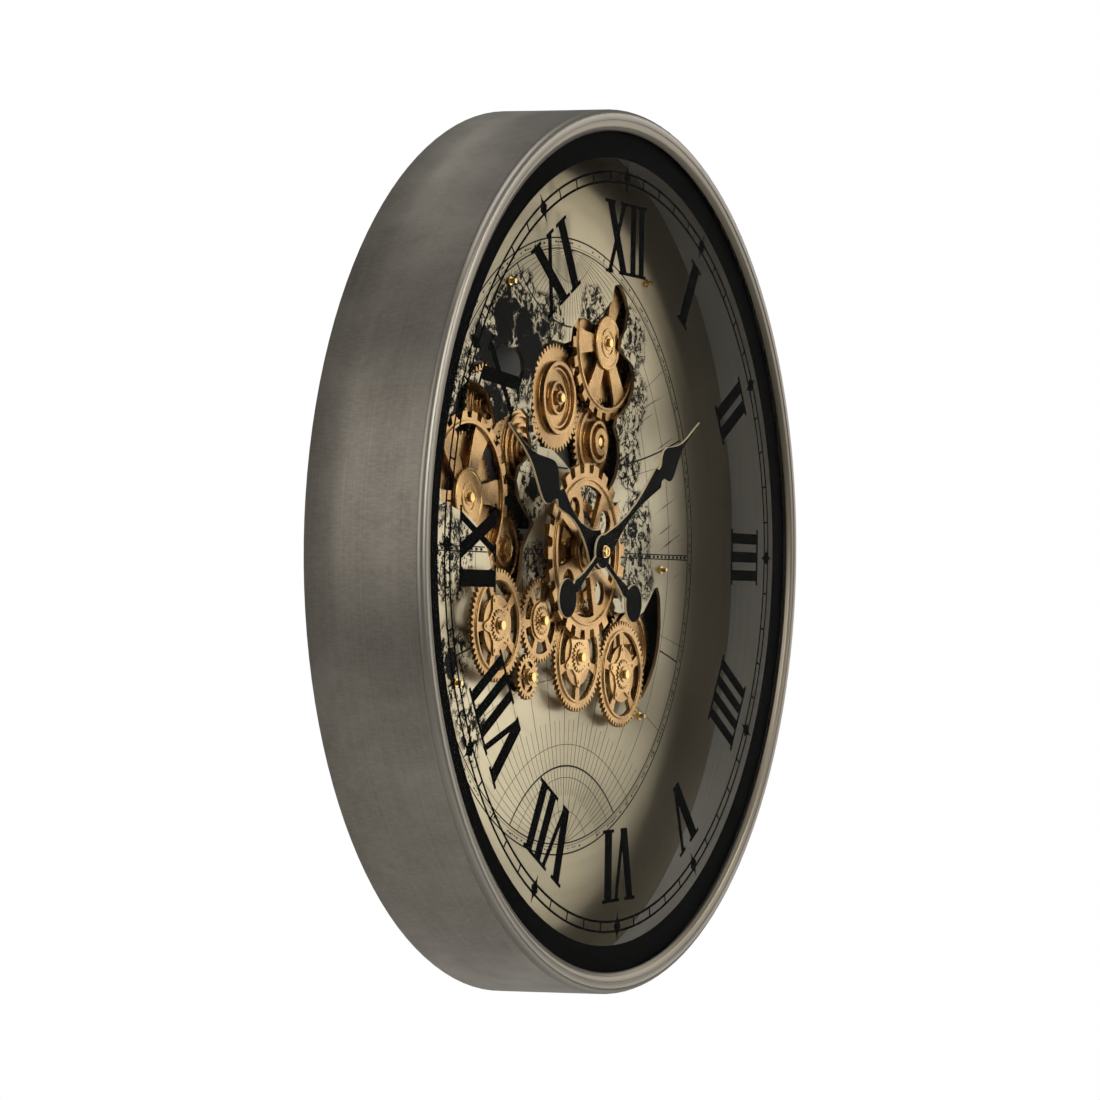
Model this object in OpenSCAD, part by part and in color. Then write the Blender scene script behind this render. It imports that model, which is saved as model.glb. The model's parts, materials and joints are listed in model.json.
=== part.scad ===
// Round wall clock with an open gear train behind glass.
// Clock frame: x to the right, y into the wall, z up.
// The case axis is at x = 0, z = 0, and y = 0 is the rear face of the glass.

/* [Case] */
// Outer radius of the case, mm
case_radius = 250; // [150:1:400]
// How much smaller the case radius is at the front than at the wall, mm
front_taper = 2.2; // [0:0.1:6]
// Distance from the rear face of the glass to the wall, mm
wall_y = 62; // [50:0.5:100]
// How far the bezel stands in front of the rear face of the glass, mm
bezel_front = 6.1; // [4:0.1:12]
// Radius of the opening in the bezel, mm
bezel_opening = 235.9; // [140:0.1:390]
// Sheet thickness of the case band, mm
band_thickness = 1.5; // [0.8:0.1:4]
// Thickness of the glass, mm
glass_thickness = 3; // [2:0.5:5]

/* [Dial] */
// Depth of the front face of the dial plate, mm
plate_y = 35; // [25:0.5:45]
// Thickness of the dial plate, mm
plate_thickness = 2; // [1:0.1:4]
// Inner radius of the printed border, mm
border_inner = 221.3; // [180:0.1:230]
// Radius of the hour markers on the minute track, mm
track_radius = 210.9; // [150:0.1:218]
// Inner radius of the numerals, mm
numeral_inner = 156; // [100:0.5:170]
// Height of the numerals, mm
numeral_height = 41; // [20:0.5:50]

/* [Hands] */
// Direction of the minute hand at rest, counter-clockwise from the right, degrees
minute_angle = 30.8; // [0:0.1:360]
// Direction of the hour hand at rest, counter-clockwise from the right, degrees
hour_angle = 149.2; // [0:0.1:360]
// Depth of the front face of the minute hand, mm
minute_hand_y = 12; // [10:0.1:13]
// Depth of the front face of the hour hand, mm
hour_hand_y = 15; // [14:0.1:17]
// Thickness of both hands, mm
hand_thickness = 1.4; // [0.8:0.1:1.8]

/* [Gear train] */
// Module of the front gears, mm
front_module = 1.0714; // [0.8:0.0001:1.6]
// Module of the rear gears, mm
rear_module = 1.25; // [1:0.05:1.5]
// Teeth on the fine wheel behind the centre wheel
center_teeth = 56; // [40:1:64]
// Teeth on the large centre wheel
coarse_teeth = 24; // [16:1:36]
// Tip radius of the large centre wheel, mm
coarse_radius = 50; // [40:0.5:54]
// Teeth on the south wheel
south_teeth = 56; // [40:1:60]
// Teeth on the east wheel
east_teeth = 56; // [40:1:60]
// Teeth on the inner wheel
inner_teeth = 42; // [30:1:46]
// Teeth on the west wheel
west_teeth = 56; // [40:1:60]
// Teeth on the small wheel
small_teeth = 22; // [18:1:30]
// Teeth on the wheel behind the inner wheel
inner_rear_teeth = 32; // [24:1:36]
// Teeth on the bronze disc wheel
disc_teeth = 36; // [30:1:40]
// Teeth on the fine wheel of the left rim
left_teeth = 56; // [48:1:60]
// Teeth on the shaded wheel
shaded_teeth = 36; // [30:1:40]
// Teeth on the hidden wheel
ringed_teeth = 40; // [32:1:44]
// Teeth on the upper fine wheel
fine_teeth = 48; // [40:1:54]
// Teeth on the domed wheel
domed_teeth = 40; // [30:1:44]
// Teeth on the fine wheel of the upper rim
upper_teeth = 54; // [48:1:58]
// Teeth on the wheel behind the east wheel
east_rear_teeth = 26; // [20:1:30]
// Teeth on the right wheel
right_teeth = 46; // [36:1:48]
// Teeth on the motor pinion
motor_teeth = 16; // [14:1:20]
// Play between meshing teeth on the pitch circle, mm
backlash = 0.16; // [0.06:0.01:0.3]
// Radius of the gear posts, mm
post_radius = 2; // [1.5:0.1:3]
// Radial running clearance of bores, mm
running_fit = 0.06; // [0.03:0.01:0.1]

/* [Mounting] */
// Height of the hanger hole above the case axis, mm
hanger_z = 203; // [150:1:215]
// Radius of the hanger hole, mm
hanger_hole = 4.75; // [3:0.05:8]

/* [Hidden] */
$fn = 96;

ink = [0.09, 0.09, 0.09];
bronze = [0.72, 0.52, 0.32];
gold = [0.86, 0.70, 0.36];
pewter = [0.45, 0.43, 0.39];
steel = [0.62, 0.62, 0.61];
dark = [0.16, 0.15, 0.14];

pressure = 20;
addendum = 0.9;
dedendum = 1.2;
front_y = 27;
front_t = 2.5;
rear_y = 43;
rear_t = 2.5;
rim_y = 38.4;
rim_t = 3;
base_y = 48.5;
base_t = 2.5;
base_rear = base_y + base_t;
base_radius = 246;
flange_y = 58.5;
flange_t = 1.5;
flange_inner = 234;
pillar_ring = 241;
broad = 8.2;
narrow = 4.4;
liner_inner = 239.4;
liner_outer = 241;
dial_plate_radius = 244;
bore = post_radius + running_fit;
sleeve_outer = 6;
neck_radius = 4;
cell_radius = 7.1;
cell_length = 50;
movement_half = 28;
bracket_y = 44;
movement_y = 45.5;

// Centre of the next wheel, from the last centre, both pitch radii and the direction between them.
function next(c, m, n1, n2, a) = c + m * (n1 + n2) / 2 * [cos(a), sin(a)];
// Tooth phase of the next wheel so that it meshes with the last one.
function mesh(p, n1, n2, a) = a + 180 - (p - a) * n1 / n2 + 180 / n2;

south_a = 270;
east_a = -10;
inner_a = 156.7;
west_a = 182.8;
small_a = 244.8;
disc_a = 112.3;
left_a = 152.1;
shaded_a = 62.2;
ringed_a = -27;
fine_a = 34.5;
domed_a = -24.4;
upper_a = 82;
right_a = 16.8;
motor_a = 250;

center_c = [0, 0];
south_c = next(center_c, front_module, center_teeth, south_teeth, south_a);
east_c = next(south_c, front_module, south_teeth, east_teeth, east_a);
inner_c = next(south_c, front_module, south_teeth, inner_teeth, inner_a);
west_c = next(inner_c, front_module, inner_teeth, west_teeth, west_a);
small_c = next(inner_c, front_module, inner_teeth, small_teeth, small_a);
disc_c = next(inner_c, rear_module, inner_rear_teeth, disc_teeth, disc_a);
left_c = next(disc_c, rear_module, disc_teeth, left_teeth, left_a);
shaded_c = next(left_c, rear_module, left_teeth, shaded_teeth, shaded_a);
ringed_c = next(shaded_c, rear_module, shaded_teeth, ringed_teeth, ringed_a);
fine_c = next(ringed_c, rear_module, ringed_teeth, fine_teeth, fine_a);
domed_c = next(fine_c, rear_module, fine_teeth, domed_teeth, domed_a);
upper_c = next(domed_c, rear_module, domed_teeth, upper_teeth, upper_a);
right_c = next(east_c, rear_module, east_rear_teeth, right_teeth, right_a);
motor_c = next(east_c, rear_module, east_rear_teeth, motor_teeth, motor_a);

center_p = 0;
south_p = mesh(center_p, center_teeth, south_teeth, south_a);
east_p = mesh(south_p, south_teeth, east_teeth, east_a);
inner_p = mesh(south_p, south_teeth, inner_teeth, inner_a);
west_p = mesh(inner_p, inner_teeth, west_teeth, west_a);
small_p = mesh(inner_p, inner_teeth, small_teeth, small_a);
disc_p = mesh(0, inner_rear_teeth, disc_teeth, disc_a);
left_p = mesh(disc_p, disc_teeth, left_teeth, left_a);
shaded_p = mesh(left_p, left_teeth, shaded_teeth, shaded_a);
ringed_p = mesh(shaded_p, shaded_teeth, ringed_teeth, ringed_a);
fine_p = mesh(ringed_p, ringed_teeth, fine_teeth, fine_a);
domed_p = mesh(fine_p, fine_teeth, domed_teeth, domed_a);
upper_p = mesh(domed_p, domed_teeth, upper_teeth, upper_a);
right_p = mesh(0, east_rear_teeth, right_teeth, right_a);
motor_p = mesh(0, east_rear_teeth, motor_teeth, motor_a);

// Angles of one arm of each lobed plate.
south_arm = 54;
east_arm = 20;
west_arm = 38;

front_only = [south_c, west_c, small_c];
through = [east_c, inner_c];
rear_only = [disc_c, shaded_c, ringed_c, fine_c, domed_c, right_c];
rims = [left_c, upper_c];
standoffs = [[101.8, 161.9], [128.9, -8.7], [100, -95.9], [-134, -72.7], [-77, 147.1]];
standoff_radius = 4;
cap_radius = 2.5;
cap_length = 1.6;
// Thickness of a cap in front of the end of its post.
cap_skin = 0.7;
post_reach = cap_length - cap_skin;
// Front ends of the wheel hubs.
front_hub_y = 24.8;
rear_hub_y = 39.6;
dome_hub_y = 37.2;
lobe_y = 26.2;
pinion_y = 25.5;
screw_r = 1.4;
// Small overlap that joins stacked layers of one piece.
lap = 0.1;

// ---- helpers ----

module place() {
  translate([0, -wall_y, -hanger_z])
    children();
}

// A flat shape drawn in x and z, from depth y0 to y0 + t.
module slab(y0, t) {
  translate([0, y0 + t, 0])
    rotate([90, 0, 0])
      linear_extrude(t)
        children();
}

// A profile drawn as [radius, depth], turned about the case axis.
module turned() {
  rotate([-90, 0, 0])
    rotate_extrude($fn = 180)
      children();
}

module rod(c, r, y0, y1) {
  translate([c[0], y0, c[1]])
    rotate([-90, 0, 0])
      cylinder(r = r, h = y1 - y0);
}

module ring(ro, ri) {
  difference() {
    circle(ro);
    circle(ri);
  }
}

// Involute tooth outline.
function inv(a) = tan(a) * 180 / PI - a;
function half_tooth(m, n, r) =
  let (rb = m * n / 2 * cos(pressure), a = acos(min(1, rb / max(r, rb))))
  90 / n - backlash / (m * n) * 90 / PI + inv(pressure) - inv(a);
function tooth(m, n, k, p) =
  let (
    rp = m * n / 2,
    rs = [rp - dedendum * m, rp, rp + addendum * m],
    c = p + k * 360 / n,
    h = [for (r = rs) half_tooth(m, n, r)]
  )
  concat(
    [for (i = [0:2]) rs[i] * [cos(c - h[i]), sin(c - h[i])]],
    [for (i = [2:-1:0]) rs[i] * [cos(c + h[i]), sin(c + h[i])]]
  );

module gear2d(m, n, p) {
  polygon([for (k = [0:n - 1]) each tooth(m, n, k, p)]);
}

// Square-toothed rim outline.
module coarse2d(n, tip, root, p, share) {
  half = 180 / n * share;
  polygon([
    for (k = [0:n - 1])
      for (q = [[root, -half * 1.15], [tip, -half], [tip, half], [root, half * 1.15]])
        q[0] * [cos(p + k * 360 / n + q[1]), sin(p + k * 360 / n + q[1])]
  ]);
}

// A ring sector used as a window.
module sector(ri, ro, a0, a1) {
  steps = 6;
  polygon(concat(
    [for (i = [0:steps]) ri * [cos(a0 + (a1 - a0) * i / steps), sin(a0 + (a1 - a0) * i / steps)]],
    [for (i = [steps:-1:0]) ro * [cos(a0 + (a1 - a0) * i / steps), sin(a0 + (a1 - a0) * i / steps)]]
  ));
}

module at(c, a = 0) {
  translate([c[0], 0, c[1]])
    rotate([0, -a, 0])
      children();
}

// Spoked front wheel with a raised ring; p is the tooth phase, a the angle of a spoke.
module front_wheel(c, n, p, a) {
  rim = front_module * n / 2 - 4.6;
  at(c, p) {
    slab(front_y, front_t)
      difference() {
        gear2d(front_module, n, 0);
        circle(6);
        for (i = [0:4])
          sector(16.4, rim - 1.2, a - p + i * 72 + 7, a - p + i * 72 + 65);
      }
    slab(front_y - 0.9, 0.9)
      ring(rim + 0.6, rim - 0.9);
  }
}

// Outline with lobes that reach radius hi and hollows at radius lo between them.
module lobed2d(arms, lo, hi) {
  polygon([
    for (i = [0:71])
      (lo + (hi - lo) * pow(cos(arms * i * 5 / 2), 6)) * [cos(i * 5), sin(i * 5)]
  ]);
}

// Lobed centre plate, hub tube, pinion and rivets of a front wheel.
module spider(c, a, y_back, arms = 5) {
  at(c, a) {
    slab(lobe_y, front_y - lobe_y)
      difference() {
        lobed2d(arms, 10.6, 17.4);
        circle(bore);
      }
    slab(pinion_y, lobe_y - pinion_y + lap)
      difference() {
        gear2d(0.8, 20, 0);
        circle(bore);
      }
    slab(front_hub_y, pinion_y - front_hub_y + lap)
      ring(4.6, bore);
    slab(front_y - lap, y_back - front_y + lap)
      ring(5.7, bore);
    for (i = [0:arms - 1])
      rotate([0, -i * 360 / arms, 0])
        rod([14.2, 0], 1, lobe_y - 0.4, lobe_y + lap);
  }
}

module rear_plain(c, m, n, p, hub_front) {
  at(c, p)
    slab(rear_y, rear_t)
      difference() {
        gear2d(m, n, 0);
        circle(bore);
      }
  at(c)
    slab(hub_front, rear_y - hub_front + lap)
      ring(4.2, bore);
}

// Wheel with turned rings on its front face.
module ringed(c, n, p, rings, hub_front) {
  rear_plain(c, rear_module, n, p, hub_front);
  at(c)
    for (q = rings)
      slab(rear_y - q[2], q[2] + lap)
        ring(q[0], q[1]);
}

// Wide curved spokes carrying a coarse rim.
module spoked_rim(c, a, tip, inner, spokes) {
  at(c, a) {
    slab(rim_y, rim_t)
      difference() {
        coarse2d(24, tip, inner + 3.2, 0, 0.52);
        circle(inner);
      }
    slab(rim_y - 0.8, 0.8)
      ring(inner + 1.6, inner);
    slab(rim_y + 0.8, 1.4)
      difference() {
        for (i = [0:spokes - 1])
          rotate(i * 360 / spokes)
            polygon([
              [7, -4.5], [16, -5], [26, -6.5], [34, -8.5], [inner + 1, -11],
              [inner + 1, 6], [34, 6.5], [26, 5.8], [16, 5], [7, 4.5]
            ]);
        circle(7);
        for (i = [0:3:35])
          rotate(i * 10)
            translate([inner + 1.6, -14])
              square([8, 28]);
      }
    slab(rim_y + 0.8, 1.4)
      ring(9, 7);
  }
}

module dome(c, p, back) {
  at(c) {
    slab(rim_y - 0.6, 1.4)
      ring(16, bore);
    slab(rim_y - 1, 0.4 + lap)
      ring(15.6, 14);
    slab(dome_hub_y, rim_y - 0.6 - dome_hub_y + lap) {
      ring(8.6, 6.8);
      ring(4.4, bore);
    }
    slab(rim_y + 0.8, back - rim_y - 0.8)
      ring(6.6, bore);
  }
}

// Stations along a disc of radius r centred at u, between two angles.
function disc(u, r, a0, a1) =
  [for (i = [0:12]) let (a = a0 + (a1 - a0) * i / 12) [u + r * cos(a), r * sin(a)]];

// Mirror-symmetric hand outline from stations [distance, half width].
module hand_outline(s) {
  n = len(s);
  polygon(concat(
    [for (i = [0:n - 1]) s[i]],
    [for (i = [n - 1:-1:0]) [s[i][0], -s[i][1]]]
  ));
}

// ---- case ----

module case_shell() {
  inner = case_radius - band_thickness;
  front = case_radius - front_taper;
  color(pewter) place()
    turned()
      polygon([
        [front - band_thickness, -2], [front, -2], [case_radius, wall_y - 1], [case_radius - 0.6, wall_y],
        [inner, wall_y], [inner, flange_y + flange_t], [flange_inner, flange_y + flange_t],
        [flange_inner, flange_y], [inner - 0.1, flange_y]
      ]);
}

module bezel_ring() {
  round_r = 3.4;
  edge = case_radius - front_taper;
  tongue = edge - band_thickness - 0.4;
  color([0.62, 0.58, 0.5]) place()
    turned()
      polygon(concat(
        [[edge, -2.1]],
        [
          for (i = [0:6])
            [edge - round_r * (1 - cos(i * 15)), -bezel_front + round_r * (1 - sin(i * 15))]
        ],
        [
          [242, -bezel_front], [241.6, -5.6], [241.2, -5.9], [237.8, -4.6], [237.3, -3.6],
          [bezel_opening, -3.4], [bezel_opening, -glass_thickness - 0.05],
          [241.2, -glass_thickness - 0.05], [241.2, 0.4], [tongue - 1.4, 0.4], [tongue - 1.4, 7],
          [tongue, 7], [tongue, -2.1]
        ]
      ));
}

module glass_pane() {
  color([0.8, 0.86, 0.86, 0.25]) place()
    rod([0, 0], 240.6, -glass_thickness, 0);
}

module inner_liner() {
  color(steel) place()
    turned()
      polygon([
        [liner_inner, 0.6], [244.2, 0.6], [244.2, 2], [liner_outer, 2],
        [liner_outer, plate_y], [liner_inner, plate_y]
      ]);
}

// ---- printed dial ----

serif = 1.9;
serif_reach = 2.6;

module numeral_bar(x, w) {
  translate([x - w / 2, 0])
    square([w, numeral_height]);
  for (y = [0, numeral_height - serif])
    translate([x - w / 2 - serif_reach, y])
      square([w + 2 * serif_reach, serif]);
}

// Stroke of width w leaning from x0 at the foot to x1 at the head.
module stroke(x0, x1, w) {
  polygon([
    [x0 - w / 2, 0], [x0 + w / 2, 0], [x1 + w / 2, numeral_height], [x1 - w / 2, numeral_height]
  ]);
  translate([x1 - w / 2 - serif_reach, numeral_height - serif])
    square([w + 2 * serif_reach, serif]);
}

module foot(x0, w) {
  translate([x0 - w / 2 - serif_reach, 0])
    square([w + 2 * serif_reach, serif]);
}

module cross_sign(x) {
  stroke(x + 9.6, x - 9.6, broad);
  stroke(x - 9.6, x + 9.6, narrow);
  foot(x + 9.6, broad);
  foot(x - 9.6, narrow);
}

module vee_sign(x) {
  stroke(x, x - 9, broad);
  stroke(x + 1, x + 9.5, narrow - 0.8);
}

// n bars of width w centred on x.
module bars(n, x, w) {
  for (i = [0:n - 1])
    numeral_bar(x + (i - (n - 1) / 2) * (w + 4.8), w);
}

module numeral(h) {
  if (h <= 4)
    bars(h, 0, [9.6, 8, 6.4, 6.1][h - 1]);
  if (h == 5)
    vee_sign(0);
  if (h == 6) {
    vee_sign(-7);
    bars(1, 13, 9);
  }
  if (h == 7) {
    vee_sign(-12);
    bars(2, 12, 7.4);
  }
  if (h == 8) {
    vee_sign(-17.6);
    bars(3, 11.4, 6.1);
  }
  if (h == 9) {
    bars(1, -17, 9);
    cross_sign(6);
  }
  if (h == 10)
    cross_sign(0);
  if (h == 11) {
    cross_sign(-9);
    bars(1, 16, 8.4);
  }
  if (h == 12) {
    cross_sign(-12);
    bars(2, 15, 6.4);
  }
}

module dial_print() {
  color(ink) place()
    slab(0.05, 0.25) {
      ring(238.5, border_inner);
      ring(214.2, 212.9);
      ring(208.6, 207.3);
      for (i = [0:59])
        rotate(i * 6)
          translate([208, -0.5])
            square([5.5, 1]);
      for (h = [1:12])
        rotate(-h * 30) {
          translate([0, track_radius])
            polygon([
              [0, -8.2], [0.6, -4.8], [4.2, 0], [0.6, 4.8], [0, 8.2], [-0.6, 4.8], [-4.2, 0], [-0.6, -4.8]
            ]);
          translate([0, numeral_inner])
            numeral(h);
        }
    }
}

// ---- dial plate ----

// Open coastline shapes through which the rear gears show.
module north_opening() {
  polygon([
    [55, 146], [60, 157], [68, 158], [76, 151], [80, 143], [77, 133], [71, 127], [69, 121],
    [76, 116], [84, 113], [89, 105], [88, 97], [83, 89], [75, 84], [66, 80], [63, 74],
    [69, 66], [70, 56], [66, 46], [57, 36], [40, 40], [20, 42], [2, 47], [-8, 52],
    [-20, 57], [-36, 58], [-44, 66], [-48, 78], [-46, 92], [-42, 104], [-34, 114], [-22, 119],
    [-6, 118], [2, 120], [4, 128], [12, 134], [24, 134], [34, 132], [44, 138]
  ]);
}

module west_opening() {
  polygon([
    [-152, 24], [-156, 44], [-151, 62], [-142, 70], [-136, 82], [-124, 90], [-112, 89], [-100, 85],
    [-95, 77], [-90, 68], [-80, 72], [-68, 76], [-58, 78], [-50, 74], [-50, 66], [-46, 58],
    [-52, 50], [-60, 46], [-64, 38], [-60, 28], [-50, 20], [-42, 15], [-48, 9], [-55, 1],
    [-57, -12], [-62, -24], [-78, -26], [-92, -16], [-97, -4], [-104, 8], [-118, 16], [-134, 20]
  ]);
}

module east_opening() {
  polygon([
    [50, -38], [60, -33], [72, -35], [84, -34], [98, -37], [106, -34], [114, -27], [121, -20],
    [126, -19], [130, -26], [131, -42], [129, -55], [124, -66], [116, -76], [106, -85], [92, -88],
    [74, -78], [60, -62], [48, -48]
  ]);
}

module island_opening() {
  polygon([
    [-93, 101], [-91, 108], [-84, 112], [-74, 110], [-66, 111], [-59, 106], [-57, 99],
    [-61, 93], [-72, 91], [-80, 93], [-88, 92]
  ]);
}

module crest_opening() {
  polygon([
    [-125, 94], [-120, 99], [-110, 102], [-99, 100], [-92, 96], [-99, 94.5], [-108, 96], [-116, 94]
  ]);
}

module dial_plate() {
  color([0.68, 0.64, 0.55]) place()
    slab(plate_y, plate_thickness)
      difference() {
        circle(dial_plate_radius);
        circle(20);
        north_opening();
        west_opening();
        east_opening();
        island_opening();
        crest_opening();
        for (c = [south_c, west_c, small_c, inner_c, east_c])
          translate(c)
            circle(8.5);
        for (c = standoffs)
          translate(c)
            circle(screw_r + 0.3);
      }
}

module plate_standoffs() {
  color(steel) place()
    for (c = standoffs)
      rod(c, standoff_radius, plate_y + plate_thickness, base_y);
}

module plate_screws() {
  color(gold) place()
    for (c = standoffs) {
      rod(c, screw_r, plate_y - 4.4, plate_y + plate_thickness - 0.1);
      rod(c, 2.4, plate_y - 1.2, plate_y);
    }
}

// ---- back board and hanger ----

module base_plate() {
  color(dark) place()
    slab(base_y, base_t)
      difference() {
        circle(base_radius);
        square(2 * movement_half + 1, center = true);
        translate([73.5, -165.5])
          square([61, 35]);
        translate(motor_c)
          circle(4);
      }
}

module plate_pillars() {
  color(steel) place()
    for (i = [0:7])
      rotate([0, i * 45 + 22.5, 0])
        rod([pillar_ring, 0], 4.4, base_rear, flange_y);
}

module case_screws() {
  color(steel) place()
    for (i = [0:7])
      rotate([0, i * 45 + 22.5, 0])
        rod([pillar_ring, 0], 3.6, flange_y + flange_t, wall_y - 0.3);
}

module hanger_plate() {
  leg = 30;
  color(steel) place() {
    slab(wall_y - 1.5, 1.5)
      difference() {
        translate([-leg, 184])
          square([2 * leg, 36]);
        translate([0, hanger_z])
          circle(hanger_hole);
        translate([-2.2, hanger_z])
          square([4.4, 11]);
      }
    for (s = [-1, 1]) {
      translate([s * (leg - 0.75) - 0.75, base_rear, 184])
        cube([1.5, wall_y - base_rear - 1.5, 36]);
      translate([s > 0 ? leg : -leg - 11, base_rear, 184])
        cube([11, 1.5, 36]);
    }
  }
}

module hanger_screws() {
  color(gold) place()
    for (s = [-1, 1])
      for (z = [191, 213])
        rod([s * 35.5, z], 3, base_rear + 1.5, base_rear + 3.3);
}

// ---- gear posts ----

module post(c, y_front, y_shoulder) {
  rod(c, post_radius, y_front, base_y);
  rod(c, 4.6, y_shoulder, base_y);
}

module gear_posts() {
  color(steel) place() {
    for (c = front_only)
      post(c, front_hub_y - post_reach, front_y + front_t + 4.3);
    for (c = through)
      post(c, front_hub_y - post_reach, rear_y + rear_t + 0.3);
    for (c = rear_only)
      post(c, rear_hub_y - post_reach, rear_y + rear_t + 0.3);
    for (c = rims)
      post(c, dome_hub_y - post_reach, rear_y + rear_t + 0.3);
  }
}

// A cap on the end of a post, in front of a hub that starts at depth y.
module cap(c, y) {
  difference() {
    rod(c, cap_radius, y - cap_length, y - 0.3);
    rod(c, post_radius, y - post_reach, y);
  }
}

module post_caps() {
  color(gold) place() {
    for (c = concat(front_only, through))
      cap(c, front_hub_y);
    for (c = rear_only)
      cap(c, rear_hub_y);
    for (c = rims)
      cap(c, dome_hub_y);
  }
}

// ---- centre: movement, bushing, sleeve, hands ----

module movement_bracket() {
  color(steel) place() {
    slab(bracket_y, 1.5)
      difference() {
        translate([-31.5, -12])
          square([63, 24]);
        circle(neck_radius + 0.3);
      }
    for (s = [-1, 1]) {
      translate([s > 0 ? 30 : -31.5, bracket_y, -12])
        cube([1.5, base_y - bracket_y, 24]);
      translate([s > 0 ? 31.5 : -40.5, base_y - 1.5, -12])
        cube([9, 1.5, 24]);
    }
  }
}

module bracket_screws() {
  color(gold) place()
    for (s = [-1, 1])
      for (z = [-7, 7])
        rod([s * 36.5, z], 2.2, base_y - 3, base_y - 1.5);
}

module movement_housing() {
  half = movement_half;
  y1 = movement_y + 15;
  color(dark) place()
    difference() {
      union() {
        translate([-half, movement_y, -half])
          cube([2 * half, 13, 2 * half]);
        translate([-half + 2, movement_y, -half + 2])
          cube([2 * half - 4, 15, 2 * half - 4]);
      }
      translate([-cell_length / 2 - 0.5, y1 - 2 * cell_radius - 0.4, -half + 3.3])
        cube([cell_length + 1, 20, 2 * cell_radius + 0.6]);
      rod([0, 0], neck_radius + 0.3, movement_y - 1, movement_y + 2);
      rod([0, 12], 8.3, y1 - 2.4, y1 + 1);
      rod([0, 12], 2.06, y1 - 8, y1 + 1);
    }
}

module movement_cell() {
  y_axis = movement_y + 15 - cell_radius - 0.2;
  z_axis = -movement_half + 3.6 + cell_radius;
  color([0.25, 0.42, 0.3]) place() {
    translate([-cell_length / 2 + 0.4, y_axis, z_axis])
      rotate([0, 90, 0])
        cylinder(r = cell_radius, h = cell_length - 2.2);
    translate([cell_length / 2 - 1.8, y_axis, z_axis])
      rotate([0, 90, 0])
        cylinder(r = 2.7, h = 1.6);
  }
}

module setting_knob() {
  y1 = movement_y + 15;
  color(steel) place()
    translate([0, 0, 12]) {
      slab(y1 - 2.1, 2.9)
        coarse2d(24, 7.6, 7, 0, 0.5);
      rod([0, 0], 2, y1 - 7.5, y1 - 2.1);
    }
}

module movement_bushing() {
  color(gold) place()
    difference() {
      rod([0, 0], neck_radius, 17.6, movement_y + 2);
      rod([0, 0], 2.96, 16, movement_y + 3);
    }
}

module bushing_nut() {
  color(gold) place()
    slab(bracket_y - 2.5, 2.5)
      difference() {
        circle(7, $fn = 6);
        circle(neck_radius + 0.02);
      }
}

module center_sleeve() {
  color(gold) place() {
    slab(19.4, bracket_y - 2.8 - 19.4)
      ring(sleeve_outer, neck_radius + 0.3);
    slab(38, 1.5)
      difference() {
        coarse2d(30, 16.5, 15, 0, 0.5);
        circle(sleeve_outer - 0.5);
      }
  }
}

module sleeve_collar() {
  color(gold) place()
    slab(18.6, 0.7)
      ring(7.5, neck_radius + 0.3);
}

module hour_pipe() {
  color(gold) place()
    slab(14.2, movement_y + 1.5 - 14.2)
      ring(2.9, 1.76);
}

module hour_hand() {
  color(ink) place()
    rotate([0, -hour_angle, 0])
      slab(hour_hand_y, hand_thickness)
        difference() {
          hand_outline(concat(
            disc(-57, 11, 179, 16),
            [[-42, 3.8], [-36, 2.8], [-28, 1.9], [-13, 2]],
            disc(0, 10.2, 166, 80),
            [
              [4, 12.4], [8, 9.4], [14, 6], [20, 3.9], [28, 2.1], [36, 1.9], [44, 3.1],
              [51, 5.2], [57, 6.3], [59.5, 3.2], [62, 4.4], [66, 10], [70, 12.6], [75, 12.8], [80, 11],
              [86, 8.2], [93, 5], [101, 2.5], [110, 1.2], [131, 0.5]
            ]
          ));
          circle(2.9);
        }
}

module minute_arbor() {
  color(gold) place()
    rod([0, 0], 1.7, 9.6, movement_y + 1.5);
}

module minute_hand() {
  color(ink) place()
    rotate([0, -minute_angle, 0])
      slab(minute_hand_y, hand_thickness)
        difference() {
          hand_outline(concat(
            disc(-52, 11, 179, 16),
            [[-38.5, 4], [-34, 3], [-26, 2], [-13, 1.9]],
            disc(0, 9.6, 166, 52),
            [
              [9, 6.8], [15, 5.6], [25, 3.6], [38, 2.2], [52, 2.2], [64, 3.2], [76, 5],
              [87, 6.7], [90, 3.9], [94, 4.4], [98, 8.6], [102, 10.3], [107, 9.6], [113, 6.8], [120, 3.8],
              [127, 1.8], [135, 0.9], [156, 0.5]
            ]
          ));
          circle(1.7);
        }
}

module hand_nut() {
  color(gold) place() {
    slab(10.4, 1.6)
      difference() {
        circle(4, $fn = 6);
        circle(1.7);
      }
    slab(9, 1.4)
      difference() {
        circle(2.9);
        translate([-0.3, -4])
          square([0.6, 8]);
        circle(1.7);
      }
  }
}

// ---- drive ----

module motor_housing() {
  color(steel) place() {
    difference() {
      rod(motor_c, 17, base_rear, 60.5);
      rod(motor_c, bore, base_y, 54);
    }
    slab(base_rear, 1.2)
      for (s = [-1, 1])
        translate([motor_c[0] + s * 20 - 4, motor_c[1] - 4])
          square([8, 8]);
  }
}

module motor_pinion() {
  color(gold) place() {
    at(motor_c, motor_p)
      slab(rear_y - 0.5, rear_t + 1)
        gear2d(rear_module, motor_teeth, 0);
    rod(motor_c, 2, rear_y - 0.5, 53.5);
  }
}

module battery_holder() {
  color(dark) place()
    difference() {
      translate([74, 46.2, -165])
        cube([60, 15, 34]);
      for (i = [0:1])
        translate([78, 47.6, -164 + i * 16.4])
          cube([52, 20, 15.2]);
      translate([95, 60, -134])
        cube([16, 4, 2.4]);
    }
}

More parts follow.
